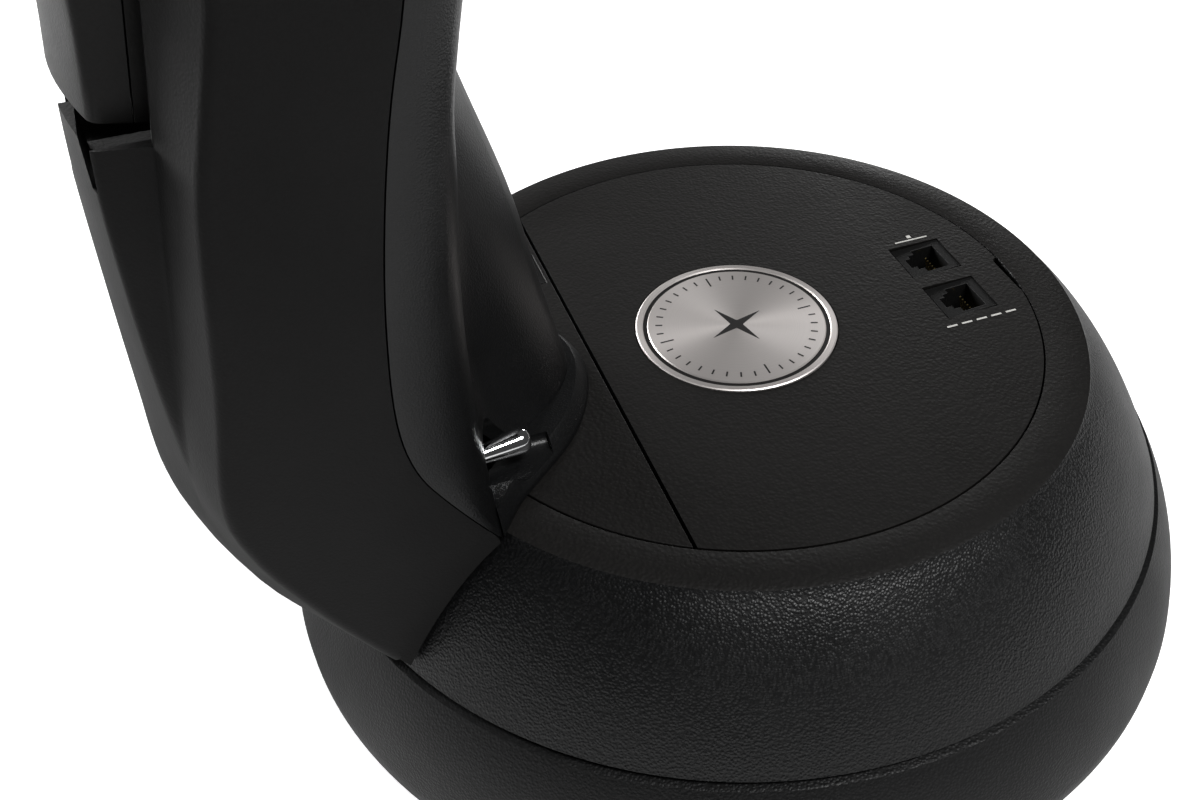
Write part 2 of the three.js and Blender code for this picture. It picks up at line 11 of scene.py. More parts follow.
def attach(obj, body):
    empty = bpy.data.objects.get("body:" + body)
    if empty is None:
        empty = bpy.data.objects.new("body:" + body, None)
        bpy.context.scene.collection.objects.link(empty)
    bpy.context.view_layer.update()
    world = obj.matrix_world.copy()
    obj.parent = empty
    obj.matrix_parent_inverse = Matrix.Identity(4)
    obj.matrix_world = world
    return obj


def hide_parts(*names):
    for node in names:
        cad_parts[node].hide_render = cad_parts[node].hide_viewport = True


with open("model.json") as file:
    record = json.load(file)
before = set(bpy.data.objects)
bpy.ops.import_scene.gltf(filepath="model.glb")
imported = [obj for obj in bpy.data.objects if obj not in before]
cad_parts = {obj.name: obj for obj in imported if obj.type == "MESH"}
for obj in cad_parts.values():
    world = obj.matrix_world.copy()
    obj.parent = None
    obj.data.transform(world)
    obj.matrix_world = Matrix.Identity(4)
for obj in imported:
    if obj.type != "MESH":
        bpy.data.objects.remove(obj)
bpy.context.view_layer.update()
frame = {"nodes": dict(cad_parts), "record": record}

scene = bpy.context.scene
MM = 0.001

# Sizes in millimetres, as in the part.
GAP = 0.35
TOP = 72.0
LID_R = 79.0
LID_T = 2.6
RING_R = 90.8
SPLIT_R, SPLIT_Z = 113.4, 35.6
BASE_R = 124.2
CHORD_X = -39.4
BADGE_R = 26.4
ALT_Z = TOP + 225
HEAD_R = 60.0
FACE_X = -60.0
DOCK_X, DOCK_Z, LEAN = -126.5, TOP + 101.6, math.radians(10)
LENGTH = 172.0
HANDSET_HALF = (29, 37.5)
LEDGE_Z = 100.3     # above the turntable: the ledge under the docked hand controller
BAND = 5.4          # height of the plain band round the arm's foot
DEPTH_LOW, DEPTH_HIGH, DEPTH_BACK = 13.0, 16.5, 12.0
CROWN_LOW, CROWN_HIGH = 6.0, 3.0
KEY_TRAVEL, KEY_PROUD, MAT_X = 1.2, 1.4, -4.0
SCREEN_LOW, SCREEN_HIGH, SCREEN_HALF = 130, 158, 29
SADDLE_X = (-51.2, -33.0)
CLAMP_X = -39.0
THROUGH = (0, 120)                          # a span of heights that cuts right through the lid
ON_BADGE = (TOP + 0.28, TOP + 0.34)         # heights of the marks on the badge
ON_LID = (TOP - 0.02, TOP + 0.05)           # heights of the marks on the lid
SHELL_WALL = 2.0                            # of the hand controller
ARM_WALL = 2.8
ARM_SPAN = (-35.4, 283)                     # lowest and highest level of the arm, above the turntable
HOLLOW_SPAN = (-32.6, 274)                  # the same for the space inside it
TROUGH_X, TROUGH_HALF, TROUGH_Z = (-136, -122), 32.4, (92, 106)
PAINTED_SHEEN_ANGLE = math.radians(158)               # the painted highlight fans of the spun face lie along this line


# ---------------------------------------------------------------- materials
class Finish:
    """A node material on Object coordinates, in metres."""

    def __init__(self, name, colour, roughness, metallic=0.0, **sockets):
        self.material = bpy.data.materials.new(name)
        self.material.use_nodes = True
        self.tree = self.material.node_tree
        self.shader = self.tree.nodes["Principled BSDF"]
        self.place = self.node("ShaderNodeTexCoord").outputs["Object"]
        self.height = None
        self.set("Base Color", (*colour, 1))
        self.set("Roughness", roughness)
        self.set("Metallic", metallic)
        for socket, value in sockets.items():
            self.set(socket.replace("_", " "), value)

    def node(self, kind, **inputs):
        made = self.tree.nodes.new(kind)
        for socket, value in inputs.items():
            key = int(socket[1:]) if socket[1:].isdigit() else socket.replace("_", " ")
            self.feed(made.inputs[key], value)
        return made

    def feed(self, socket, value):
        if isinstance(value, bpy.types.NodeSocket):
            self.tree.links.new(value, socket)
        else:
            socket.default_value = value

    def set(self, socket, value):
        self.feed(self.shader.inputs[socket], value)

    def maths(self, operation, a, b=0.0):
        made = self.node("ShaderNodeMath", _0=a, _1=b)
        made.operation = operation
        return made.outputs[0]

    def spread(self, value, low, high, out_low=0.0, out_high=1.0):
        made = self.node("ShaderNodeMapRange", Value=value, From_Min=low, From_Max=high,
                         To_Min=out_low, To_Max=out_high)
        return made.outputs["Result"]

    def noise(self, size, detail=2.0, place=None):
        """Noise whose lumps are about size millimetres across."""
        made = self.node("ShaderNodeTexNoise", Vector=place or self.place, Scale=1 / (size * MM),
                         Detail=detail, Roughness=0.55)
        return made.outputs["Fac"]

    def cells(self, size, feature="F1"):
        made = self.node("ShaderNodeTexVoronoi", Vector=self.place, Scale=1 / (size * MM))
        made.feature = feature
        return made.outputs["Distance"]

    def tint(self, mix, dark, light):
        made = self.node("ShaderNodeMix")
        made.data_type = "RGBA"
        self.feed(made.inputs["Factor"], mix)
        self.feed(made.inputs[6], (*dark, 1))
        self.feed(made.inputs[7], (*light, 1))
        self.set("Base Color", made.outputs[2])

    def bump(self, height, depth, strength=1.0):
        """Raises the surface by up to depth millimetres where height is 1."""
        made = self.node("ShaderNodeBump", Height=height, Strength=strength, Distance=depth * MM)
        self.set("Normal", made.outputs["Normal"])


def leather_moulding(name, dark, light, rough, grain, depth, gloss=0.3):
    """Matt black moulding with a leather grain: shallow cells broken up by noise."""
    skin = Finish(name, dark, rough, Specular_IOR_Level=gloss)
    wander = skin.noise(grain * 2.2, 2)
    cell = skin.spread(skin.cells(grain, "SMOOTH_F1"), 0.1, 0.75, 1.0, 0.0)
    height = skin.maths("ADD", skin.maths("MULTIPLY", cell, 0.65), skin.maths("MULTIPLY", wander, 0.5))
    skin.bump(height, depth, 0.8)
    skin.tint(skin.spread(height, 0.2, 1.0), dark, light)
    broad = skin.noise(38, 3)
    skin.set("Roughness", skin.spread(broad, 0.3, 0.7, rough - 0.05, rough + 0.06))
    return skin.material


def pebble_moulding(name, dark, light, rough, grain, depth, gloss=0.42):
    """Satin black moulding with a fine pebble grain."""
    skin = Finish(name, dark, rough, Specular_IOR_Level=gloss)
    pebbles = skin.spread(skin.cells(grain), 0.0, 0.7, 1.0, 0.0)
    fine = skin.noise(grain * 0.45, 2)
    height = skin.maths("ADD", skin.maths("MULTIPLY", pebbles, 0.8), skin.maths("MULTIPLY", fine, 0.25))
    skin.bump(height, depth, 0.7)
    skin.tint(skin.spread(height, 0.1, 1.0), dark, light)
    skin.set("Roughness", skin.spread(skin.noise(30, 3), 0.3, 0.7, rough - 0.05, rough + 0.05))
    return skin.material


def machined(name, colour, rough, wave=0.5):
    """Turned or milled metal with fine tool marks."""
    metal = Finish(name, colour, rough, 1.0)
    marks = metal.noise(wave, 3)
    metal.bump(marks, 0.02, 0.5)
    metal.tint(metal.noise(9, 3), [c * 0.82 for c in colour], [min(1, c * 1.08) for c in colour])
    metal.set("Roughness", metal.spread(metal.noise(4, 3), 0.3, 0.7, rough - 0.06, rough + 0.1))
    return metal.material


def spun_metal(name, colour, rough):
    """A face cut by a lathe: rings about the turning axis, with a radial sheen, and painted highlight fans
    lightening its colour.
    """
    metal = Finish(name, colour, rough, 0.55, Anisotropic=0.8)
    parts = metal.node("ShaderNodeSeparateXYZ", Vector=metal.place).outputs
    across = metal.maths("ADD", metal.maths("MULTIPLY", parts["X"], parts["X"]),
                         metal.maths("MULTIPLY", parts["Y"], parts["Y"]))
    radius = metal.maths("SQRT", across)
    ring_place = metal.node("ShaderNodeCombineXYZ", X=radius).outputs["Vector"]
    rings = metal.noise(0.28, 4, ring_place)
    metal.bump(rings, 0.01, 0.4)
    # Painted highlight: two opposite fans across the face are tinted lighter, standing in for the sheen of
    # the spun rings.
    angle = metal.maths("ARCTAN2", parts["Y"], parts["X"])
    painted_fans = metal.maths("COSINE", metal.maths("MULTIPLY", metal.maths("SUBTRACT", angle, PAINTED_SHEEN_ANGLE), 2))
    rings_and_painted_fans = metal.maths("ADD", metal.maths("MULTIPLY", rings, 0.35), metal.spread(painted_fans, -1, 1, 0.0, 0.65))
    metal.tint(rings_and_painted_fans, [c * 0.62 for c in colour], [min(1, c * 1.25) for c in colour])
    tangent = metal.tree.nodes.new("ShaderNodeTangent")
    tangent.direction_type, tangent.axis = "RADIAL", "Z"
    metal.set("Tangent", tangent.outputs["Tangent"])
    return metal.material


def soft_rubber(name, dark, light, rough):
    rubber = Finish(name, dark, rough, Specular_IOR_Level=0.35)
    rubber.tint(rubber.noise(3, 3), dark, light)
    rubber.bump(rubber.noise(0.5, 3), 0.03, 0.6)
    return rubber.material


def circuit_board(name):
    board = Finish(name, (0.012, 0.09, 0.03), 0.35)
    traces = board.node("ShaderNodeTexBrick", Vector=board.place, Scale=1 / (4 * MM)).outputs["Fac"]
    board.tint(board.maths("MULTIPLY", traces, 0.8), (0.008, 0.06, 0.02), (0.05, 0.22, 0.08))
    board.bump(traces, 0.04, 0.5)
    return board.material


def display_glass(name):
    glass = Finish(name, (0.05, 0.004, 0.003), 0.2, Specular_IOR_Level=0.35)
    glass.tint(glass.noise(20, 2), (0.03, 0.002, 0.002), (0.06, 0.006, 0.004))
    glass.set("Roughness", glass.spread(glass.noise(6, 2), 0.3, 0.7, 0.16, 0.26))
    return glass.material


def printed_mark(name, colour, rough=0.5):
    ink = Finish(name, colour, rough)
    ink.tint(ink.noise(0.6, 2), [c * 0.85 for c in colour], colour)
    ink.bump(ink.noise(0.3, 2), 0.01, 0.4)
    return ink.material


def polished_chrome(name):
    chrome = Finish(name, (0.83, 0.84, 0.85), 0.07, 1.0)
    chrome.set("Roughness", chrome.spread(chrome.noise(2, 3), 0.3, 0.75, 0.04, 0.13))
    chrome.bump(chrome.noise(1.4, 2), 0.004, 0.5)
    return chrome.material


LEATHER = leather_moulding("leather_black", (0.0022, 0.0018, 0.0016), (0.0052, 0.0045, 0.0039), 0.56,
                           0.8, 0.12)
PEBBLE = pebble_moulding("pebble_black", (0.002, 0.0021, 0.0023), (0.0058, 0.006, 0.0064), 0.4, 0.72, 0.2)
ARM_SIDE = leather_moulding("arm_black", (0.0022, 0.0021, 0.0021), (0.0042, 0.0041, 0.004), 0.6, 0.55, 0.06,
                            gloss=0.2)
KEYPAD_BLACK = leather_moulding("handset_black", (0.003, 0.0029, 0.0028), (0.006, 0.0058, 0.0056), 0.55, 0.5,
                                0.045, gloss=0.24)
ARM_INSIDE = pebble_moulding("arm_inner_black", (0.002, 0.0021, 0.0023), (0.0055, 0.0057, 0.006), 0.36,
                             0.5, 0.06)
BASE_BLACK = pebble_moulding("base_black", (0.0018, 0.0019, 0.002), (0.005, 0.0052, 0.0055), 0.46, 0.72, 0.14,
                             gloss=0.3)
PLAIN_BLACK = pebble_moulding("plain_black", (0.003, 0.003, 0.003), (0.006, 0.006, 0.006), 0.5, 0.9, 0.02,
                              gloss=0.3)
SPUN = spun_metal("spun_aluminium", (0.66, 0.62, 0.60), 0.34)
ALUMINIUM = machined("machined_aluminium", (0.60, 0.60, 0.61), 0.34)
BRASS = machined("machined_brass", (0.62, 0.42, 0.14), 0.32)
GOLD = machined("plated_contacts", (0.78, 0.60, 0.26), 0.22, 0.2)
CHROME = polished_chrome("polished_chrome")
RUBBER = soft_rubber("foot_rubber", (0.004, 0.004, 0.004), (0.009, 0.009, 0.009), 0.85)
KEY_RUBBER = soft_rubber("key_rubber", (0.022, 0.022, 0.023), (0.034, 0.034, 0.036), 0.6)
BOARD = circuit_board("circuit_green")
GLASS = display_glass("display_red")
WHITE_INK = printed_mark("white_ink", (0.62, 0.61, 0.58))
DARK_INK = printed_mark("dark_ink", (0.012, 0.011, 0.011), 0.4)


# ---------------------------------------------------------------- shaping helpers
def bend(a, control, b, steps):
    """Points on a smooth curve from a to b, pulled towards control."""
    a, control, b = Vector(a), Vector(control), Vector(b)
    ts = [i / steps for i in range(steps + 1)]
    return [a * (1 - t) ** 2 + control * 2 * t * (1 - t) + b * t * t for t in ts]


def soften(points, radii, steps=4):
    """Rounds each corner of a line of points: radii is one number, or one for each corner."""
    points = [Vector(p) for p in points]
    count = len(points)
    if not hasattr(radii, "__len__"):
        radii = [radii] * count
    out = []
    for i, corner in enumerate(points):
        if radii[i] <= 0:
            out.append(corner)
            continue
        back, ahead = points[i - 1] - corner, points[(i + 1) % count] - corner
        start = corner + back.normalized() * min(radii[i], back.length * 0.49)
        end = corner + ahead.normalized() * min(radii[i], ahead.length * 0.49)
        out += bend(start, corner, end, steps)
    return out


def turned(profile, steps=128, closed=False):
    """Spins [radius, height] points about the Z axis."""
    bm = bmesh.new()
    verts = [bm.verts.new((p[0], 0, p[1])) for p in profile]
    edges = [bm.edges.new(pair) for pair in zip(verts, verts[1:])]
    if closed:
        edges.append(bm.edges.new((verts[-1], verts[0])))
    bmesh.ops.spin(bm, geom=verts + edges, cent=(0, 0, 0), axis=(0, 0, 1), dvec=(0, 0, 0),
                   angle=math.tau, steps=steps, use_merge=True, use_duplicate=False)
    bmesh.ops.remove_doubles(bm, verts=bm.verts, dist=0.002)
    bmesh.ops.recalc_face_normals(bm, faces=bm.faces)
    return bm


def ring_of(bm, points):
    verts = [bm.verts.new(p) for p in points]
    return [bm.edges.new((a, b)) for a, b in zip(verts, verts[1:] + verts[:1])]


def slab(points, low, high):
    """Extrudes an outline of XY points between two heights."""
    bm = bmesh.new()
    edges = ring_of(bm, [(p[0], p[1], low) for p in points])
    face = bmesh.ops.edgeloop_fill(bm, edges=edges)["faces"]
    walls = bmesh.ops.extrude_face_region(bm, geom=face, use_keep_orig=True)["geom"]
    raised = [v for v in walls if isinstance(v, bmesh.types.BMVert)]
    bmesh.ops.translate(bm, vec=(0, 0, high - low), verts=raised)
    bmesh.ops.recalc_face_normals(bm, faces=bm.faces)
    return bm


def block(x, y, z):
    return slab([(x[0], y[0]), (x[1], y[0]), (x[1], y[1]), (x[0], y[1])], z[0], z[1])


def cover_over(levels):
    """A closed skin through level outlines of equal point count."""
    bm = bmesh.new()
    rings = [ring_of(bm, level) for level in levels]
    for low, high in zip(rings, rings[1:]):
        bmesh.ops.bridge_loops(bm, edges=low + high)
    for end in (rings[0], rings[-1]):
        bmesh.ops.edgeloop_fill(bm, edges=end)
    bmesh.ops.recalc_face_normals(bm, faces=bm.faces)
    return bm


def moved(bm, matrix):
    bmesh.ops.transform(bm, matrix=matrix, verts=bm.verts)
    return bm


def upright_x(bm, x=0.0, y=0.0, z=0.0):
    """Lays a shape made along Z down along X."""
    return moved(bm, Matrix.Translation((x, y, z)) @ Matrix.Rotation(math.pi / 2, 4, "Y"))


def along_y(bm):
    """An outline of [x, z] points drawn flat stands up, with its thickness along Y."""
    return moved(bm, Matrix.Rotation(math.pi / 2, 4, "X"))


def along_x(bm):
    """An outline of [y, z] points drawn flat stands up, with its thickness along X."""
    turn = Matrix(((0, 0, 1, 0), (1, 0, 0, 0), (0, 1, 0, 0), (0, 0, 0, 1)))
    return moved(bm, turn)


def as_object(bm, name="shape"):
    mesh = bpy.data.meshes.new(name)
    bm.to_mesh(mesh)
    bm.free()
    obj = bpy.data.objects.new(name, mesh)
    scene.collection.objects.link(obj)
    return obj


def carve(bm, other, operation="DIFFERENCE"):
    """Cuts, joins or keeps the overlap of two closed shapes. Both are used up."""
    target, tool = as_object(bm), as_object(other)
    work = target.modifiers.new("carve", "BOOLEAN")
    work.operation, work.solver, work.object = operation, "EXACT", tool
    shaped = target.evaluated_get(bpy.context.evaluated_depsgraph_get())
    result = bmesh.new()
    result.from_mesh(shaped.to_mesh())
    for obj in (target, tool):
        mesh = obj.data
        bpy.data.objects.remove(obj)
        bpy.data.meshes.remove(mesh)
    return result


def piece(name, bm, material, body, stands_for=(), rounding=0.0, corner=35, parts=()):
    """Finishes a shape made in millimetres as a piece that rides on a body."""
    bmesh.ops.scale(bm, vec=(MM, MM, MM), verts=bm.verts)
    obj = as_object(bm, name)
    obj.data.materials.append(material)
    for extra in parts:
        obj.data.materials.append(extra)
    obj.data.shade_smooth()
    obj.data.set_sharp_from_angle(angle=math.radians(corner))
    if rounding:
        edge = obj.modifiers.new("rounded_edges", "BEVEL")
        edge.width, edge.segments, edge.limit_method = rounding * MM, 2, "ANGLE"
        edge.angle_limit = math.radians(corner)
        edge.harden_normals = True
    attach(obj, body)
    if stands_for:
        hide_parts(*stands_for)
    return obj


def smoothstep(value, low, high):
    t = max(0.0, min(1.0, (value - low) / (high - low)))
    return t * t * (3 - 2 * t)


def mix(a, b, t):
    return a + (b - a) * t


# ---------------------------------------------------------------- base and turntable
def shoulder(steps, clear=0.0):
    return bend((RING_R + clear, TOP - 1.1 + clear), (103.5 + clear, TOP - 13.5 + clear),
                (SPLIT_R + clear, SPLIT_Z + 0.6), steps)


def make_base():
    roof = SPLIT_Z - 0.9
    skirt = bend((SPLIT_R + 1.4, roof - 0.2), (BASE_R - 2, 22), (BASE_R, 6), 22)
    profile = [(60, roof), (SPLIT_R + 0.6, roof)] + skirt + [
        (BASE_R - 0.1, 2.4), (BASE_R - 0.9, 0.6), (BASE_R - 3.4, 0.6), (BASE_R - 3.2, 6),
        (SPLIT_R - 2.2, roof - 2.6), (60, roof - 2.6)]
    piece("base_housing", turned(profile, 192, closed=True), BASE_BLACK, "base",
          ["base_housing"])


def make_turntable():
    slope = shoulder(26)
    profile = [(LID_R, TOP - 5.6), (LID_R, TOP - 0.5), (LID_R + 0.15, TOP - 0.12), (LID_R + 0.5, TOP),
               (RING_R - 1.5, TOP), (RING_R - 0.7, TOP - 0.22)] + slope + [
        (SPLIT_R - 0.25, SPLIT_Z + 0.15), (SPLIT_R - 0.8, SPLIT_Z), (SPLIT_R - 2.2, SPLIT_Z)]
    profile += bend((SPLIT_R - 2.6, SPLIT_Z + 2), (101, TOP - 16), (RING_R - 3, TOP - 6), 12)
    bm = turned(profile, 192, closed=True)
    for face in bm.faces:
        flat = face.normal.z > 0.9 and face.calc_center_median().z > TOP - 0.6
        face.material_index = 1 if flat else 0
    piece("turntable_housing", bm, PEBBLE, "turntable", ["turntable_housing"], parts=[LEATHER])


JACK_X = 60.4
JACK_Y = {"aux_jack": 8.3, "guide_jack": -10.8}
JACK_HALF = (7.7, 7.1)


def lid_disc():
    return turned([(0, TOP - LID_T), (LID_R - GAP, TOP - LID_T), (LID_R - GAP, TOP), (0, TOP)], 192)


def make_lid():
    bm = carve(lid_disc(), block((-120, CHORD_X + 0.8), (-120, 120), THROUGH))
    for y in JACK_Y.values():
        bm = carve(bm, block((JACK_X - JACK_HALF[0], JACK_X + JACK_HALF[0]),
                             (y - JACK_HALF[1], y + JACK_HALF[1]), THROUGH))
    notch = soften([(77.1, -14.6), (90, -18), (90, 4), (77.1, 0.8)], [1.5, 0, 0, 1.5], 5)
    bm = carve(bm, slab(notch, *THROUGH))
    recess = turned([(0, TOP - 1.0), (BADGE_R + 0.3, TOP - 1.0), (BADGE_R + 0.3, TOP + 5), (0, TOP + 5)], 128)
    bm = carve(bm, recess)
    piece("battery_lid", bm, LEATHER, "lid", ["battery_lid"], rounding=0.32, corner=40)

    lines = [(0, TOP - 0.7), (BADGE_R - 0.15, TOP - 0.7), (BADGE_R - 0.05, TOP + 0.1),
             (BADGE_R - 0.35, TOP + 0.33), (24.75, TOP + 0.33), (24.45, TOP + 0.02), (23.35, TOP + 0.02),
             (23.1, TOP + 0.3), (0, TOP + 0.3)]
    badge = turned(lines, 160)
    for face in badge.faces:
        middle = face.calc_center_median()
        if 23.3 < middle.xy.length < 24.5 and middle.z > TOP - 0.3 and face.normal.z > 0.9:
            face.material_index = 1
    piece("badge_disc", badge, SPUN, "lid", ["badge_disc"], parts=[DARK_INK])

    star = []
    for i in range(8):
        reach = 8.5 if i % 2 == 0 else 1.6
        angle = math.radians(45 * i + 21.5)
        star.append((reach * math.cos(angle), reach * math.sin(angle)))
    mark_set = [slab(soften(star, 0.25, 2), *ON_BADGE)]
    for i in range(36):
        angle = math.radians(10 * i)
        inner = 17.6 if i % 9 == 0 else 19.4
        tick = block((inner, 21.2), (-0.22, 0.22), ON_BADGE)
        mark_set.append(moved(tick, Matrix.Rotation(angle, 4, "Z")))
    piece("badge_scale", gathered(mark_set), DARK_INK, "lid")


def gathered(shapes):
    """Several separate shapes as one."""
    whole = bmesh.new()
    for shape in shapes:
        mesh = bpy.data.meshes.new("part")
        shape.to_mesh(mesh)
        shape.free()
        whole.from_mesh(mesh)
        bpy.data.meshes.remove(mesh)
    return whole


def jack_body(name, x, y, body, stands_for):
    """A modular jack with a stepped mouth, set in its opening with a slot along two sides."""
    (half_x, half_y), slot, snug = JACK_HALF, 0.8, 0.12
    face = [(slot - half_x, TOP - 0.9), (half_x - 2.2, TOP - 0.35), (half_x - snug, TOP - 0.3),
            (half_x - snug, TOP - 11.6), (slot - half_x, TOP - 11.6)]
    bm = moved(along_y(slab(face, snug - half_y, half_y - slot)), Matrix.Translation((x, y, 0)))
    mouth = [(-5.0, -1.9), (-3.4, -1.9), (-3.4, -3.3), (-1.7, -3.3), (-1.7, -5), (5.0, -5),
             (5.0, 5), (-1.7, 5), (-1.7, 3.3), (-3.4, 3.3), (-3.4, 1.9), (-5.0, 1.9)]
    bm = carve(bm, slab([(x + dx, y + dy) for dx, dy in mouth], TOP - 10.4, TOP + 4))
    piece(name, bm, PLAIN_BLACK, body, stands_for, rounding=0.15, corner=40)
    wires = []
    for i in range(6):
        across = y - 3.2 + i * 1.28
        wire = turned([(0, 0), (0.22, 0), (0.22, 7.4), (0, 7.4)], 10)
        lean = Matrix.Translation((x + 4.2, across, TOP - 10.2)) @ Matrix.Rotation(math.radians(-14), 4, "Y")
        wires.append(moved(wire, lean))
    piece(name + "_contacts", gathered(wires), GOLD, body)


def make_jacks():
    for name, y in JACK_Y.items():
        jack_body(name, JACK_X, y, "turntable", [name])
    marks = [block((56.0, 66.0), (17.1, 17.6), ON_LID), block((60.4, 61.6), (18.3, 19.5), ON_LID)]
    marks += [block((50.6 + i * 4.4, 53.6 + i * 4.4), (-21.5, -20.9), ON_LID) for i in range(5)]
    piece("jack_marks", gathered(marks), WHITE_INK, "lid")


# ---------------------------------------------------------------- arm
# Half widths are shared by all rows; x runs from the outer crown round one side to the inner crown.
ARM_Y = [0, 17, 33, 35, 51, 52, 49, 44, 36, 24, 14]
ARM_ROUND = [9, 12, 1.4, 1.2, 2.2, 4, 5, 5, 8, 9, 9]
ARM = [
    (-35.4, -125.0, -113.5, -112.2, -101.0, -77.3, -76.0, -77.0, -57.0, -46.0),
    (-24.0, -133.0, -121.4, -120.0, -108.5, -77.3, -76.0, -77.0, -57.0, -46.0),
    (-12.0, -139.4, -128.4, -127.2, -115.5, -77.3, -76.0, -77.0, -57.0, -46.0),
    (0.0, -142.7, -132.8, -131.7, -121.8, -77.5, -76.2, -62.0, -50.5, -44.8),
    (10.0, -144.4, -135.2, -134.3, -126.6, -83.0, -76.3, -70.5, -53.5, -45.8),
    (26.0, -143.9, -136.0, -135.4, -130.5, -92.0, -76.5, -77.2, -57.8, -48.8),
    (56.0, -142.7, -136.4, -131.6, -125.6, -94.0, -76.2, -78.0, -62.0, -54.8),
    (87.0, -141.2, -135.6, -126.6, -121.2, -90.0, -73.8, -75.0, -68.0, -64.2),
    (100.0, -140.0, -134.4, -124.4, -118.7, -87.4, -72.9, -73.4, -69.5, -67.6),
    (115.0, -138.0, -132.6, -121.7, -114.3, -83.8, -70.2, -70.4, -68.8, -67.2),
    (130.0, -136.0, -130.6, -119.1, -110.1, -80.3, -67.0, -67.2, -67.0, -66.8),
    (160.0, -131.0, -126.0, -113.8, -104.8, -77.0, -62.4, -62.4, -62.3, -62.2),
    (190.0, -126.0, -121.0, -108.5, -99.6, -76.0, -60.0, -60.0, -60.0, -60.0),
    (225.0, -120.0, -115.0, -102.3, -94.0, -76.0, -60.0, -60.0, -60.0, -60.0),
    (255.0, -115.0, -110.0, -97.0, -90.0, -76.0, -60.2, -60.2, -60.2, -60.2),
    (268.0, -113.0, -108.0, -94.8, -88.6, -76.0, -61.2, -61.2, -61.2, -61.2),
    (278.0, -111.0, -106.0, -93.0, -87.6, -76.0, -63.6, -63.6, -63.6, -63.6),
    (283.0, -110.0, -105.0, -91.4, -86.8, -76.0, -67.0, -67.0, -67.0, -67.0),
]
# The line between the two mouldings, seen from the side.
SEAM = [(-400, 400), (-76, 400), (-76, 175), (-77.5, 150), (-81.5, 126.4), (-86.3, 110), (-90, 92),
        (-93.3, 71), (-95.4, 48), (-95.1, 35), (-92.7, 25), (-88.5, 17.4), (-84, 10.2), (-77.6, 0.5),
        (-77.6, -60), (-400, -60)]
SEAM_ROUND = [0, 0, 20, 12, 12, 8, 9, 10, 11, 6, 5, 4, 4, 1, 0, 0]


def arm_row(z):
    """The arm's measures at a height above the turntable, on a smooth curve through the rows."""
    heights = [row[0] for row in ARM]
    k = max(i for i in range(len(ARM) - 1) if heights[i] <= z or i == 0)
    before, low, high, after = (ARM[max(0, min(len(ARM) - 1, k + d))] for d in (-1, 0, 1, 2))
    span = high[0] - low[0]
    t = (z - low[0]) / span
    out = []
    for c in range(1, len(low)):
        slope_low = (high[c] - before[c]) / (high[0] - before[0]) * span
        slope_high = (after[c] - low[c]) / (after[0] - low[0]) * span
        out.append((2 * t ** 3 - 3 * t ** 2 + 1) * low[c] + (t ** 3 - 2 * t ** 2 + t) * slope_low
                   + (3 * t ** 2 - 2 * t ** 3) * high[c] + (t ** 3 - t ** 2) * slope_high)
    return out


def arm_half_width(z):
    above = z - (ALT_Z - TOP)
    if above > 0:
        return math.sqrt(max(HEAD_R ** 2 - above ** 2, 1.0))
    return mix(52, HEAD_R, smoothstep(z, 135, ALT_Z - TOP))


def drawn_in(points, distance):
    """An outline moved inwards by a wall thickness."""
    out = []
    for i, p in enumerate(points):
        into = (p - points[i - 1]).normalized()
        away = (points[(i + 1) % len(points)] - p).normalized()
        normal = Vector((-into.y - away.y, into.x + away.x)).normalized()
        across = max(0.6, normal.dot(Vector((-away.y, away.x))))
        out.append(p + normal * distance / across)
    return out


def arm_outline(z, wall):
    crown, edge, root, bevel, side, flank, valley, bulge, inner = arm_row(z)
    stretch = arm_half_width(z) / 52
    xs = [crown, crown + (edge - crown) * 0.28, edge, root, bevel, side,
          side + (flank - side) * 0.55, side + (flank - side) * 0.88, flank, valley, bulge]
    half = [Vector((x, y * stretch)) for x, y in zip(xs, ARM_Y)]
    near = [Vector((p.x, -p.y)) for p in half[1:]]
    whole = [half[0]] + near + [Vector((inner, 0))] + half[:0:-1]
    radii = ARM_ROUND + [9] + ARM_ROUND[:0:-1]
    return drawn_in(whole, wall) if wall else soften(whole, radii, 4)


def arm_body(wall, low, high):
    """The arm as one closed solid, drawn in by a wall, between two heights above the turntable."""
    heights = [low + (high - low) * i / 76 for i in range(77)]
    levels = []
    for z in heights:
        line = arm_outline(z, wall)
        middle = sum(line, Vector((0, 0))) / len(line)
        ease = 1 - 0.3 * max(0.0, (z - high + 6) / 6) ** 3
        levels.append([(*(middle + (p - middle) * ease), z + TOP) for p in line])
    return cover_over(levels)


def handset_half(z):
    return mix(*HANDSET_HALF, smoothstep(z, 10, 125))


def in_dock(bm):
    return moved(bm, Matrix.Translation((DOCK_X, 0, DOCK_Z)) @ Matrix.Rotation(LEAN, 4, "Y"))


def dock_space(grow):
    """The bed of the arm that the hand controller lies in, open outwards and at the top."""
    rise = [0] + [10 + 8 * i for i in range(26)]
    right = [(handset_half(z) + 1.3 + grow, z) for z in rise]
    right[0] = (right[0][0], -1.2 - grow)
    outline = soften(right + [(-y, z) for y, z in reversed(right)], [5] + [0] * 52 + [5], 5)
    return in_dock(along_x(slab(outline, -45, 13.4 + grow)))


def scoop_space(grow):
    half, floor = 13.5 + grow, TOP + 82 - grow
    outline = soften([(-half, floor), (half, floor), (half, TOP + 112), (-half, TOP + 112)],
                     [9, 9, 0, 0], 6)
    return along_x(slab(outline, -160, -124 + grow))


def shrinking(line, levels):
    """Copies of an outline at several heights, each drawn towards the middle of its straight back."""
    middle = (line[0] + line[-1]) / 2
    return [[(*(middle + (p - middle) * part), z) for p in line] for z, part in levels]


def above_ledge():
    """All that lies outward of the arm's outer face, above the ledge."""
    face = [(arm_row(z)[2], z + TOP) for z in range(101, 284, 13)]
    line = [(-200, TOP + LEDGE_Z), (face[0][0], TOP + LEDGE_Z)] + face + [(face[-1][0], 500), (-200, 500)]
    return along_y(slab(line, -90, 90))


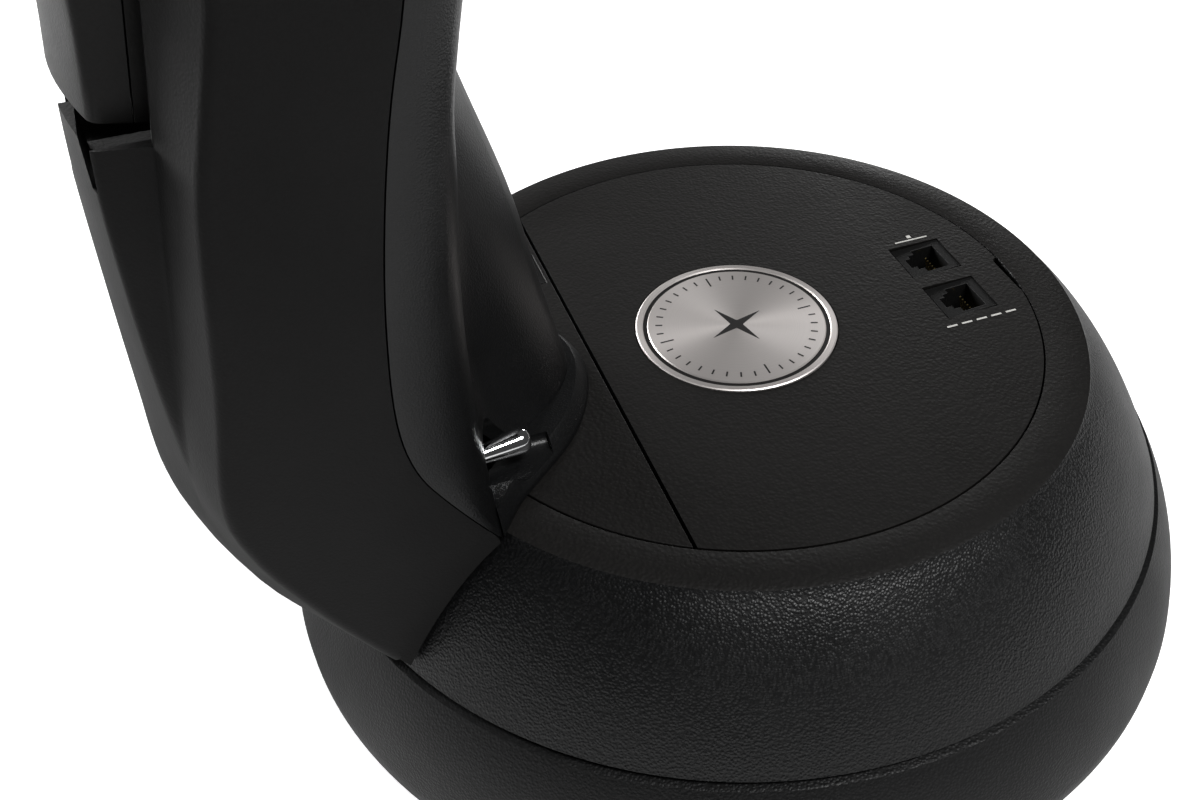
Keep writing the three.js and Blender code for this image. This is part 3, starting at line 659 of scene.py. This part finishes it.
def round_housing(clear):
    """The turning housing as a tool, grown by a clearance."""
    rim = list(reversed(shoulder(26, clear)))
    foot = SPLIT_Z - 20
    return turned([(0, foot), (SPLIT_R + clear, foot)] + rim
                  + [(RING_R - 2 + clear, TOP + clear), (0, TOP + clear)], 192)


def trough(grow):
    """The drop behind the ledge's rim, under the docked hand controller."""
    return block((TROUGH_X[0] - grow, TROUGH_X[1] + grow), (-TROUGH_HALF - grow, TROUGH_HALF + grow),
                 (TOP + TROUGH_Z[0] - grow, TOP + TROUGH_Z[1]))


def make_outer_shell():
    """The flat-sided half, with the bed for the hand controller and a band over the housing."""
    seam = soften([(x, z + TOP) for x, z in SEAM], SEAM_ROUND, 4)
    far_half = along_y(slab(seam, -100, 100))
    root = block((-88 - GAP, 0), (-46 - GAP, 46 + GAP), (TOP, TOP + 24 + GAP))
    cavity = arm_body(ARM_WALL, *HOLLOW_SPAN)
    bed_wall = 2.4
    for space in (dock_space, scoop_space, trough):
        cavity = carve(cavity, space(bed_wall))
    shell = carve(arm_body(0, *ARM_SPAN), far_half, "INTERSECT")
    band = carve(round_housing(BAND), arm_body(0.7, -36.3, 24))
    groove = carve(round_housing(1.8), arm_body(2.1, -36.2, 22))
    for tool in (cavity, round_housing(0.7), above_ledge(), dock_space(0), trough(0), scoop_space(0), root,
                 band, groove):
        shell = carve(shell, tool)
    piece("arm_outer_shell", shell, ARM_SIDE, "turntable", ["arm_outer_shell"], corner=32)


def make_inner_shell():
    """The rounded half that faces the lid, with a collar round its foot."""
    near_line = soften([(x + GAP, z + TOP) for x, z in SEAM], SEAM_ROUND, 4)
    shell = carve(arm_body(0, *ARM_SPAN), along_y(slab(near_line, -101, 101)))
    shell = carve(shell, block((-200, 0), (-100, 100), (0, TOP + GAP)))
    foot = [(-77, 50.5), (-70.5, 41.5), (-64.2, 36.2), (-53, 26.5), (-45, 14), (-41, 0)]
    line = [Vector(p) for p in foot] + [Vector((x, -y)) for x, y in reversed(foot[:-1])]
    line = soften(line, [0, 6, 8, 8, 8, 12, 8, 8, 8, 6, 0], 5)
    collar = [(TOP + GAP, 1), (TOP + 1.2, 1), (TOP + 1.7, 0.992), (TOP + 4.6, 0.93), (TOP + 5, 0.915)]
    shell = carve(shell, cover_over(shrinking(line, collar)), "UNION")
    shell = carve(shell, arm_body(ARM_WALL, *HOLLOW_SPAN))
    for low, high in ((-38.5, -26), (26, 38.5)):
        mouth = soften([(low, TOP + 2.4), (high, TOP + 2.4), (high, TOP + 15), (low, TOP + 15)], 2.5, 4)
        shell = carve(shell, along_x(slab(mouth, -80, -59.5)))
    shell = carve(shell, upright_x(turned([(0, -80), (21, -80), (21, -50), (0, -50)], 96), 0, 0, ALT_Z))
    piece("arm_inner_shell", shell, ARM_INSIDE, "turntable", ["arm_inner_shell"], corner=32)


def make_foot_cover():
    bm = carve(lid_disc(), block((CHORD_X, 120), (-120, 120), THROUGH))
    bm = carve(bm, block((-74.5, -63.5), (-11.5, 11.5), THROUGH))
    bm = carve(bm, block((-55.9, -40.6), (36.2, 50.2), THROUGH))
    piece("arm_foot_cover", bm, LEATHER, "turntable", ["arm_foot_cover"], rounding=0.3, corner=40)
    jack_body("handset_port", -48.25, 43.2, "turntable", ["handset_port"])


def make_switch():
    place = Matrix.Translation((-80, -32, TOP + 8.2)) @ Matrix.Rotation(math.radians(8), 4, "Z")
    bat = turned([(0, -2), (1.9, -2), (2.0, 2)] + bend((2.1, 3), (2.9, 10), (3.1, 13.2), 6)
                 + bend((3.1, 13.2), (3.0, 15.8), (0, 15.8), 8)[1:], 48)
    upright = moved(bat, Matrix.Rotation(math.pi / 2, 4, "Y"))
    piece("power_switch_lever", moved(upright, place), CHROME, "switch_lever",
          ["power_switch_lever"])


# ---------------------------------------------------------------- hand controller
# Its own axes: Z up its length from the lower end, X out of its back, Y across.
def front_depth(z):
    return mix(DEPTH_LOW, DEPTH_HIGH, smoothstep(z, 0, 90))


def crown_drop(y, z):
    return mix(CROWN_LOW, CROWN_HIGH, smoothstep(z, 0, 120)) * (y / handset_half(z)) ** 2


def front_line(z, inset):
    """Section of the front shell: flat on the parting plane, crowned in front."""
    half = handset_half(z) - inset
    start = 0.1 if inset > 1.5 else -0.16
    crown = [Vector((-(front_depth(z) - crown_drop(half * i / 8, z) - inset), half * i / 8))
             for i in range(7, -8, -1)]
    side_x = -(front_depth(z) - crown_drop(half, z) - inset)
    line = [Vector((start, half)), Vector((side_x, half))] + crown
    line += [Vector((side_x, -half)), Vector((start, -half))]
    return soften(line, [0, 2.2] + [0] * len(crown) + [2.2, 0], 5)


def back_line(z, inset):
    half, depth = handset_half(z) - inset, DEPTH_BACK - inset
    start = -0.1 if inset > 1.5 else 0.16
    line = [(start, -half), (depth - 4.5, -half + 1), (depth, -half + 6.5), (depth, half - 6.5),
            (depth - 4.5, half - 1), (start, half)]
    return soften(line, [0, 2, 4, 4, 2, 0], 4)


def long_shell(section):
    """A hollow half of the hand controller, with its ends rolled over."""
    def skin(inset, low, high, roll):
        ends = [(low, roll), (low + roll * 0.3, roll * 0.4), (low + roll, 0)]
        ends += [(z, 0) for z in range(8, 166, 8)]
        ends += [(high - roll, 0), (high - roll * 0.3, roll * 0.4), (high, roll)]
        return cover_over([[(p.x, p.y, z) for p in section(z, inset + more)] for z, more in ends])
    return carve(skin(0, 0, LENGTH, 0.9), skin(SHELL_WALL, SHELL_WALL, LENGTH - SHELL_WALL, 0.5))


ROWS = {"top": 119, "arrows": 97, "numbers": 66, "pitch": 13.5}


def key_table():
    """Name, place (y, z) and size of every key."""
    keys = [(name, (21 - 21 * i, ROWS["top"]), (15, 8)) for i, name in enumerate(("align", "enter", "undo"))]
    for name, y, z in (("up", 0, 10.5), ("down", 0, -10.5), ("left", 16.5, 0), ("right", -16.5, 0)):
        keys.append((name, (y, ROWS["arrows"] + z), (14, 9)))
    for i, name in enumerate(("1", "2", "3", "4", "5", "6", "7", "8", "9", "info", "0", "menu")):
        keys.append((name, (17 - 17 * (i % 3), ROWS["numbers"] - ROWS["pitch"] * (i // 3)), (13, 8.4)))
    return keys


def key_outline(place, size, grow):
    (y, z), a, b = place, size[0] / 2 + grow, size[1] / 2 + grow
    return soften([(y - a, z - b), (y + a, z - b), (y + a, z + b), (y - a, z + b)], 3.0 + grow, 5)


def figure(text, y, z, size):
    """A raised figure on a key, facing out of the front of the hand controller."""
    curve = bpy.data.curves.new("figure", "FONT")
    curve.body, curve.size, curve.extrude = text, size, 0.04
    curve.align_x, curve.align_y, curve.resolution_u = "CENTER", "CENTER", 3
    holder = bpy.data.objects.new("figure", curve)
    scene.collection.objects.link(holder)
    flat = holder.evaluated_get(bpy.context.evaluated_depsgraph_get())
    bm = bmesh.new()
    bm.from_mesh(flat.to_mesh())
    bpy.data.objects.remove(holder)
    bpy.data.curves.remove(curve)
    stand = Matrix(((0, 0, -1, 0), (-1, 0, 0, y), (0, 1, 0, z), (0, 0, 0, 1)))
    return moved(bm, stand)


def arrow_mark(y, z, angle):
    """A raised triangle, drawn pointing up and turned by an angle."""
    tip = [Vector((0, 1.9)), Vector((-1.7, -1.2)), Vector((1.7, -1.2))]
    turn = Matrix.Rotation(math.radians(angle), 2)
    line = [turn @ p + Vector((y, z)) for p in tip]
    return along_x(slab(soften(line, 0.3, 2), -0.04, 0.04))


def bars(y, z, count):
    shapes = []
    for i in range(count):
        level = z + (i - (count - 1) / 2) * 1.3
        shapes.append(along_x(slab([(y - 2, level - 0.25), (y + 2, level - 0.25), (y + 2, level + 0.25),
                                    (y - 2, level + 0.25)], -0.04, 0.04)))
    return gathered(shapes)


def key_mark(name, y, z):
    if name.isdigit():
        return figure(name, y, z, 5.2)
    turns = {"up": 0, "down": 180, "left": -90, "right": 90}
    if name in turns:
        return arrow_mark(y, z, turns[name])
    return bars(y, z, {"align": 1, "enter": 2, "undo": 1, "info": 2, "menu": 3}[name])


def make_key(name, place, size):
    face = -(front_depth(place[1]) - crown_drop(place[0], place[1]) + KEY_PROUD)
    back = MAT_X - GAP - KEY_TRAVEL
    levels = [(back, 0), (face + 1.1, 0), (face + 0.5, 0.12), (face + 0.18, 0.42), (face + 0.04, 0.95),
              (face, 1.9)]
    cap = cover_over([[(x, p[0], p[1]) for p in key_outline(place, size, -draw)] for x, draw in levels])
    mark = moved(key_mark(name, *place), Matrix.Translation((face - 0.02, 0, 0)))
    for part in mark.faces:
        part.material_index = 1
    whole = gathered([cap, mark])
    piece("key_" + name, in_dock(whole), KEY_RUBBER, "key_" + name, ["key_" + name], corner=50,
          parts=[WHITE_INK])


def cord_hole():
    return block((-5.6 - GAP, 5.6 + GAP), (-7 - GAP, 7 + GAP), (-2, 6))


def screen_outline(grow, radius, steps):
    """The display's outline, grown all round."""
    half, low, high = SCREEN_HALF + grow, SCREEN_LOW - grow, SCREEN_HIGH + grow
    return soften([(-half, low), (half, low), (half, high), (-half, high)], radius, steps)


def make_handset():
    front = carve(long_shell(front_line), cord_hole())
    holes = [along_x(slab(key_outline(place, size, 0.4), -30, MAT_X)) for _, place, size in key_table()]
    front = carve(front, gathered(holes))
    glass_x = -(DEPTH_HIGH - CROWN_HIGH * (SCREEN_HALF / HANDSET_HALF[1]) ** 2)
    front = carve(front, along_x(slab(screen_outline(2.6, 4, 5), -30, glass_x + 0.2)))
    front = carve(front, along_x(slab(screen_outline(GAP, 1.6, 4), -30, MAT_X)))
    piece("handset_front_shell", in_dock(front), KEYPAD_BLACK, "handset", ["handset_front_shell"],
          corner=32)
    back = carve(long_shell(back_line), cord_hole())
    for side in (-1, 1):
        for z in (22, 150):
            screw = turned([(0, DEPTH_BACK - 1.2), (2.6, DEPTH_BACK - 1.2), (2.6, 30), (0, 30)], 32)
            back = carve(back, moved(upright_x(screw), Matrix.Translation((0, side * 20, z))))
    piece("handset_back_shell", in_dock(back), KEYPAD_BLACK, "handset", ["handset_back_shell"],
          corner=32)
    glass = slab(screen_outline(0, 1.4, 4), glass_x, glass_x + 1.4)
    piece("display_window", in_dock(along_x(glass)), GLASS, "handset", ["display_window"],
          rounding=0.2)
    for key in key_table():
        make_key(*key)


# ---------------------------------------------------------------- altitude axis
def make_head():
    back, front = SADDLE_X
    rim = [(0, -81), (9, -81), (9, FACE_X + 0.8), (34.6, FACE_X + 0.8), (36, FACE_X + 2.2),
           (36, back - 3), (35.6, back - 1.4), (34.2, back - 0.4), (0, back - 0.4)]
    piece("altitude_shaft", upright_x(turned(rim, 96), 0, 0, ALT_Z), PLAIN_BLACK, "altitude_head",
          ["altitude_shaft"], corner=40)

    plate = [(-38, 26), (-30, 34), (30, 34), (38, 26), (38, -30), (-38, -30)]
    saddle = along_x(slab(soften(plate, 3, 5), *SADDLE_X))
    bed = [(SADDLE_X[1] + 1, 19), (SADDLE_X[0] + 6, 22), (SADDLE_X[0] + 6, -22), (SADDLE_X[1] + 1, -19)]
    saddle = carve(saddle, along_y(slab(bed, -60, 60)))
    saddle = carve(saddle, block((SADDLE_X[0] + 6, 0), (-32, 32), (-27, 0)))
    saddle = carve(saddle, moved(turned([(0, -40), (3.4, -40), (3.4, -20), (0, -20)], 40),
                                 Matrix.Translation((CLAMP_X, 0, 0))))
    for y in (-29, 29):
        well = turned([(0, SADDLE_X[1] - 4), (2.8, SADDLE_X[1] - 4), (2.8, 0), (0, 0)], 36)
        saddle = carve(saddle, upright_x(well, 0, y, 27.5))
    piece("saddle", moved(saddle, Matrix.Translation((0, 0, ALT_Z))), PEBBLE, "altitude_head",
          ["saddle"], rounding=0.7, corner=40)

    head = [(0, front - 3.9), (2.5, front - 3.9), (2.5, front - 1.6), (2.1, front - 1.2), (1.25, front - 1.2),
            (1.25, front - 2.6), (0, front - 2.6)]
    screws = [upright_x(turned(head, 24), 0, y, ALT_Z + 27.5) for y in (-29, 29)]
    piece("saddle_screws", gathered(screws), ALUMINIUM, "altitude_head", rounding=0.1)

    jaw = along_y(slab([(SADDLE_X[0] + 6.4, -24.6), (SADDLE_X[1], -24.6), (SADDLE_X[1], -18.4),
                        (SADDLE_X[0] + 6.4, -21.6)], -31.5, 31.5))
    piece("clamp_jaw", moved(jaw, Matrix.Translation((0, 0, ALT_Z))), ALUMINIUM, "clamp_jaw",
          ["clamp_jaw"], rounding=0.5)

    lobes = [Vector((math.cos(math.tau * i / 90), math.sin(math.tau * i / 90)))
             * (10.8 + 0.7 * math.cos(math.tau * i / 10)) for i in range(90)]
    levels = [(-47, 0.93), (-46.4, 0.98), (-45.2, 1), (-34, 1), (-32.6, 0.98), (-32, 0.92)]
    knob = cover_over([[(p.x * grow, p.y * grow, z) for p in lobes] for z, grow in levels])
    knob = carve(knob, turned([(0, -60), (7.4, -60), (6.6, -46.2), (0, -46.2)], 64))
    stem = turned([(0, -34), (3, -34), (3, -27.3), (0, -27.3)], 40)
    knob = carve(knob, stem, "UNION")
    piece("clamp_knob", moved(knob, Matrix.Translation((CLAMP_X, 0, ALT_Z))), PLAIN_BLACK, "clamp_knob",
          ["clamp_knob"], corner=40)


make_base()
make_turntable()
make_lid()
make_jacks()
make_outer_shell()
make_inner_shell()
make_foot_cover()
make_switch()
make_handset()
make_head()

# ---------------------------------------------------------------- finishes of the plain CAD nodes
FINISH_OF = {
    "metal": ALUMINIUM, "brass": BRASS, "chrome": CHROME, "rubber": RUBBER, "board": BOARD,
    "screen": GLASS, "key": KEY_RUBBER, "inside": PLAIN_BLACK, "satin": PEBBLE, "matte": KEYPAD_BLACK,
}
slot_of = {part["node"]: part["material_slot"] for part in frame["record"]["subparts"]}
for name, node in frame["nodes"].items():
    for place in node.material_slots:
        place.link = "DATA"
        place.material = FINISH_OF[slot_of[name]]

# ---------------------------------------------------------------- floor, light and camera
ROOM_LIGHT = 0.05
FLOOR_GLOW = 0.85
floor = bmesh.new()
bmesh.ops.create_grid(floor, x_segments=1, y_segments=1, size=3000)
bmesh.ops.scale(floor, vec=(MM, MM, MM), verts=floor.verts)
floor = as_object(floor, "floor")
pale = Finish("pale_floor", (0.8, 0.8, 0.8), 0.9)
pale.tint(pale.noise(300, 2), (0.78, 0.78, 0.78), (0.82, 0.82, 0.82))
pale.set("Emission Color", (1, 1, 1, 1))
seen = pale.node("ShaderNodeLightPath").outputs["Is Camera Ray"]
pale.set("Emission Strength", pale.maths("MULTIPLY", seen, FLOOR_GLOW))
floor.data.materials.append(pale.material)

# The room is dim so that the softboxes shape the black mouldings; what the lens sees behind is white.
world = bpy.data.worlds.new("studio")
world.use_nodes = True
room = world.node_tree
behind = room.nodes.new("ShaderNodeLightPath").outputs["Is Camera Ray"]
level = room.nodes.new("ShaderNodeMapRange")
level.inputs["To Min"].default_value, level.inputs["To Max"].default_value = ROOM_LIGHT, 1.0
room.links.new(behind, level.inputs["Value"])
room.nodes["Background"].inputs["Color"].default_value = (1, 1, 1, 1)
room.links.new(level.outputs["Result"], room.nodes["Background"].inputs["Strength"])
scene.world = world


def softbox(name, place, aim, size, watts):
    data = bpy.data.lights.new(name, "AREA")
    data.shape, data.size, data.size_y, data.energy = "RECTANGLE", size[0], size[1], watts
    lamp = bpy.data.objects.new(name, data)
    scene.collection.objects.link(lamp)
    lamp.location = place
    lamp.rotation_euler = (Vector(aim) - Vector(place)).to_track_quat("-Z", "Y").to_euler()


softbox("back_light", (-0.6, 1.7, 0.5), (0, 0, 0.07), (0.7, 0.4), 10)
softbox("left_light", (-1.2, 1.25, 0.4), (-0.12, 0, 0.12), (0.5, 0.6), 26)
softbox("edge_light", (0.9, 1.4, 0.3), (-0.05, 0, 0.12), (0.3, 0.5), 4)
softbox("front_light", (0.36, -0.74, 1.45), (0, 0, 0.05), (0.8, 0.35), 24)

lens = bpy.data.cameras.new("camera")
lens.lens, lens.sensor_width, lens.shift_x = 40.364, 36, -0.0712
lens.clip_start, lens.clip_end = 0.02, 20
camera = bpy.data.objects.new("camera", lens)
scene.collection.objects.link(camera)
camera.location = (-0.1135, -0.2516, 0.2904)
look = Vector((0.274176, 0.69603632, -0.66359699))
camera.rotation_mode = "QUATERNION"
camera.rotation_quaternion = (look.to_track_quat("-Z", "Y").to_matrix().to_4x4()
                              @ Matrix.Rotation(math.radians(-0.12), 4, "Z")).to_quaternion()
scene.camera = camera
scene.view_settings.view_transform = "Standard"
